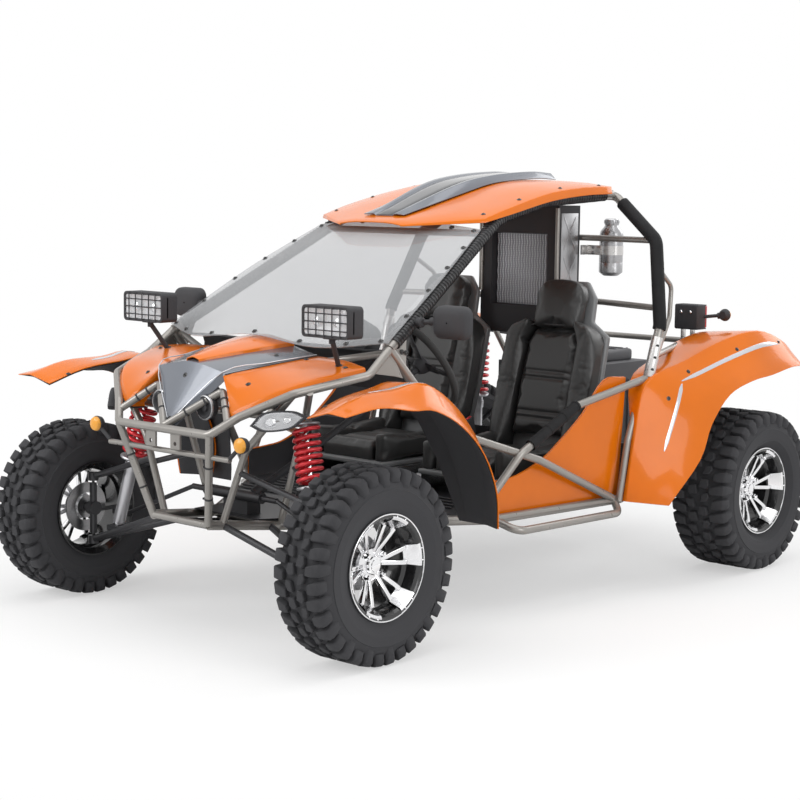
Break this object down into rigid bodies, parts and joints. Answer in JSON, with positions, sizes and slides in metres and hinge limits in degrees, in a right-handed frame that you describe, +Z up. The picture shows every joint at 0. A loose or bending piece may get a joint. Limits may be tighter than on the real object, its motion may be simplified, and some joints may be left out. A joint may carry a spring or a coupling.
{
  "type": "dune buggy",
  "caption": "Two-seat dune buggy with a welded tube frame and roll cage, plastic body panels, knobby tyres on forked-spoke alloy wheels, rack steering and coil-over suspension.",
  "frame": {"origin": "on the ground, midway between the axles and between the left and right wheels", "axes": "+Z up, -Y towards the nose, +X towards the vehicle's left side"},
  "size_m": [1.734, 2.7258, 1.5337],
  "materials": {
    "frame_paint": "satin",
    "orange_body": "gloss",
    "grey_body": "gloss",
    "foam_wrap": "matt",
    "black_sheet": "satin",
    "black_plastic": "matt",
    "clear_screen": "gloss",
    "core_metal": "satin",
    "seat_vinyl": "satin",
    "lamp_lens": "gloss",
    "amber_lens": "gloss",
    "horn_black": "gloss",
    "polished_metal": "polished",
    "engine_metal": "matt",
    "exhaust_metal": "satin",
    "chassis_black": "satin",
    "damper_metal": "satin",
    "spring_red": "gloss",
    "grip_rubber": "matt",
    "wheel_alloy": "polished",
    "tyre_rubber": "matt"
  },
  "bodies": {
    "chassis": {"main_frame": "frame_paint", "front_bumper": "frame_paint", "roll_cage": "frame_paint", "side_guards": "frame_paint", "bar_pads": "foam_wrap", "pillar_wraps": "foam_wrap", "floor_pan": "black_sheet", "skid_plate": "black_sheet", "radiator_shroud": "black_sheet", "radiator_core": "core_metal", "hood_nose": "grey_body", "hood_center": "orange_body", "hood_sides": "orange_body", "roof_panel": "orange_body", "roof_scoop": "grey_body", "windscreen": "clear_screen", "dashboard": "black_plastic", "front_fender_left": "orange_body", "front_fender_right": "orange_body", "rear_fender_left": "orange_body", "rear_fender_right": "orange_body", "wheel_liners": "black_plastic", "side_panel_left": "orange_body", "side_panel_right": "orange_body", "seat_left": "seat_vinyl", "seat_right": "seat_vinyl", "work_lamps": "black_plastic", "headlamps": "lamp_lens", "signal_lamps": "amber_lens", "tail_lamps": "black_plastic", "mirrors": "black_plastic", "horns": "horn_black", "coolant_bottle": "polished_metal", "engine_block": "engine_metal", "muffler": "exhaust_metal", "half_shafts": "chassis_black", "rear_hubs": "chassis_black", "front_arms": "chassis_black", "rear_arms": "chassis_black", "front_shocks": "damper_metal", "rear_shocks": "damper_metal", "front_springs": "spring_red", "rear_springs": "spring_red", "steering_rack": "chassis_black"},
    "steering_wheel": {"steering_wheel": "grip_rubber"},
    "track_rod": {"tie_rods": "chassis_black"},
    "knuckle_left": {"knuckle_left": "chassis_black"},
    "knuckle_right": {"knuckle_right": "chassis_black"},
    "wheel_front_left": {"wheel_front_left": "wheel_alloy", "tyre_front_left": "tyre_rubber"},
    "wheel_front_right": {"wheel_front_right": "wheel_alloy", "tyre_front_right": "tyre_rubber"},
    "wheel_rear_left": {"wheel_rear_left": "wheel_alloy", "tyre_rear_left": "tyre_rubber"},
    "wheel_rear_right": {"wheel_rear_right": "wheel_alloy", "tyre_rear_right": "tyre_rubber"}
  },
  "joints": [
    {"name": "steering", "type": "hinge", "parent": "chassis", "child": "steering_wheel", "pos_m": [0.29218, -0.32985, 0.85008], "axis": [0.2421, 0.8145, 0.5273], "range_deg": [-270, 270]},
    {"name": "rack", "type": "slide", "parent": "chassis", "child": "track_rod", "axis": [1, 0, 0], "range_m": [-0.04695, 0.04695]},
    {"name": "steer_left", "type": "hinge", "parent": "chassis", "child": "knuckle_left", "pos_m": [0.64, -1.053, 0.31], "axis": [0, 0, 1], "range_deg": [-28, 28]},
    {"name": "steer_right", "type": "hinge", "parent": "chassis", "child": "knuckle_right", "pos_m": [-0.64, -1.053, 0.31], "axis": [0, 0, 1], "range_deg": [-28, 28]},
    {"name": "roll_front_left", "type": "hinge", "parent": "knuckle_left", "child": "wheel_front_left", "pos_m": [0.714, -1.053, 0.31], "axis": [1, 0, 0], "continuous": true},
    {"name": "roll_rear_left", "type": "hinge", "parent": "chassis", "child": "wheel_rear_left", "pos_m": [0.742, 1.053, 0.31], "axis": [1, 0, 0], "continuous": true},
    {"name": "roll_front_right", "type": "hinge", "parent": "knuckle_right", "child": "wheel_front_right", "pos_m": [-0.714, -1.053, 0.31], "axis": [1, 0, 0], "continuous": true},
    {"name": "roll_rear_right", "type": "hinge", "parent": "chassis", "child": "wheel_rear_right", "pos_m": [-0.742, 1.053, 0.31], "axis": [1, 0, 0], "continuous": true}
  ],
  "couplings": [
    {"joint": "steer_left", "follows": "steering", "ratio": 0.1037},
    {"joint": "steer_right", "follows": "steering", "ratio": 0.1037},
    {"joint": "rack", "follows": "steering", "m_per_rad": -0.009962}
  ]
}
